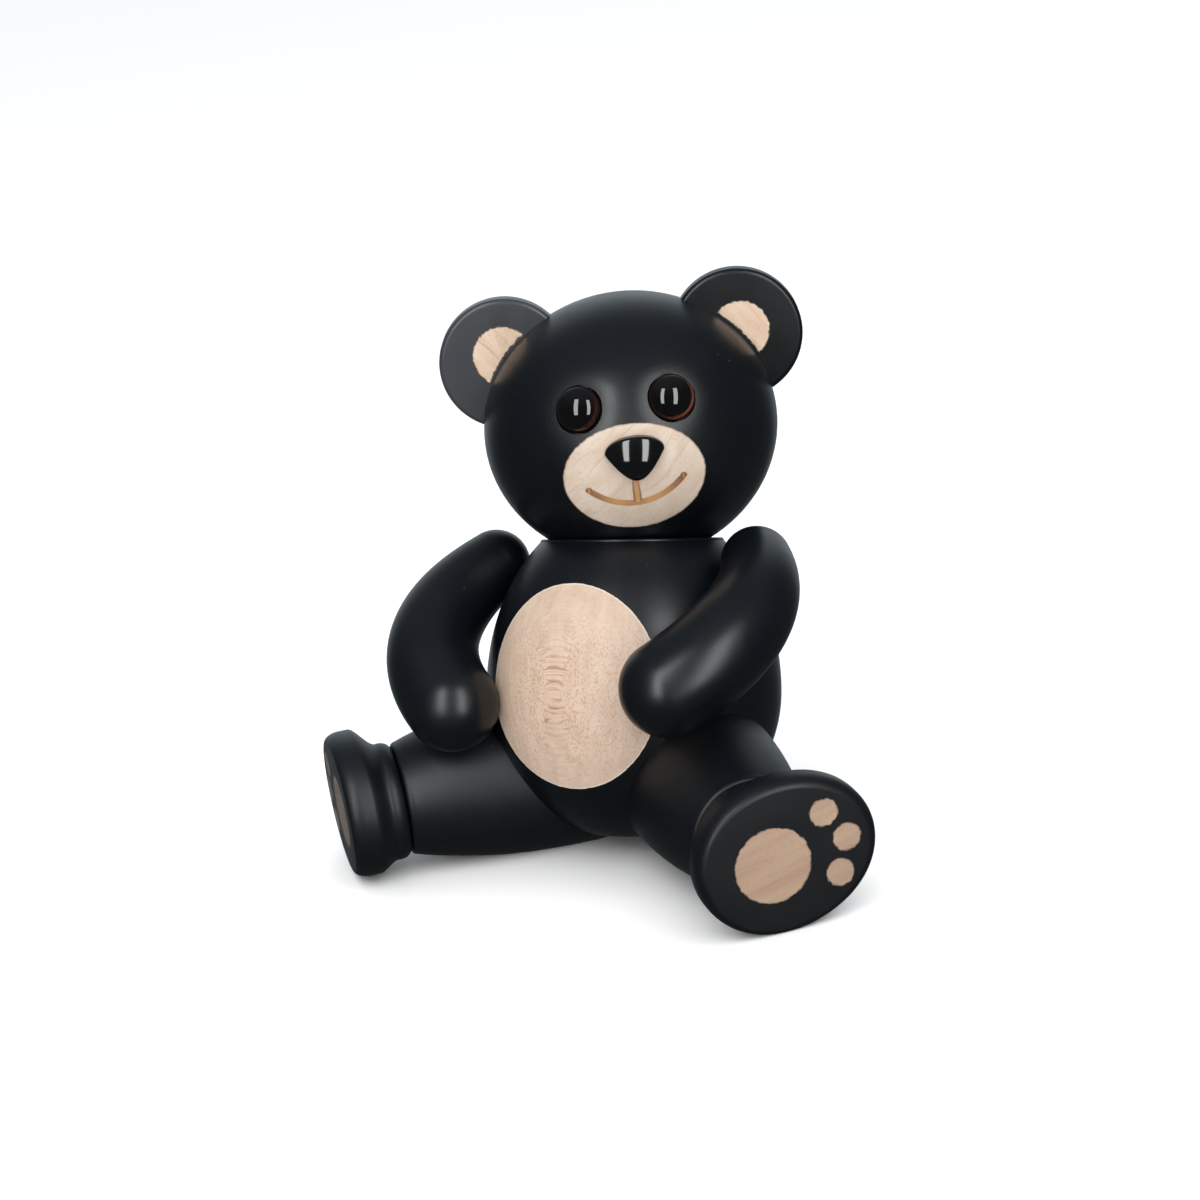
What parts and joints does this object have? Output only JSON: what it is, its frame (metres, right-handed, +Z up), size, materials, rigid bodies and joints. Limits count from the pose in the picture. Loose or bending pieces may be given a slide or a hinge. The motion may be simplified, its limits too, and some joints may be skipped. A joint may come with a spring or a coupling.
{
  "type": "wooden bear figurine",
  "caption": "Sitting wooden bear with a ball head turned to its left, round ears, bent arms resting on its belly and splayed legs with flat paw soles.",
  "frame": {"origin": "on the floor under the middle of the body, on the flat of the seat", "axes": "+X to the bear's left, -Y to its front, +Z up"},
  "size_m": [0.1271, 0.0957, 0.1104],
  "materials": {
    "lacquer": "satin black lacquer over beech, with bare maple-coloured patches on belly, muzzle, ears and soles",
    "eye": "polished dark amber dome with a black pupil",
    "nose": "polished black"
  },
  "bodies": {
    "root": {"body": "lacquer", "head": "lacquer", "ear_left": "lacquer", "ear_right": "lacquer", "eye_left": "eye", "eye_right": "eye", "nose": "nose", "arm_left": "lacquer", "arm_right": "lacquer", "leg_left": "lacquer", "leg_right": "lacquer", "foot_left": "lacquer", "foot_right": "lacquer"}
  },
  "joints": []
}
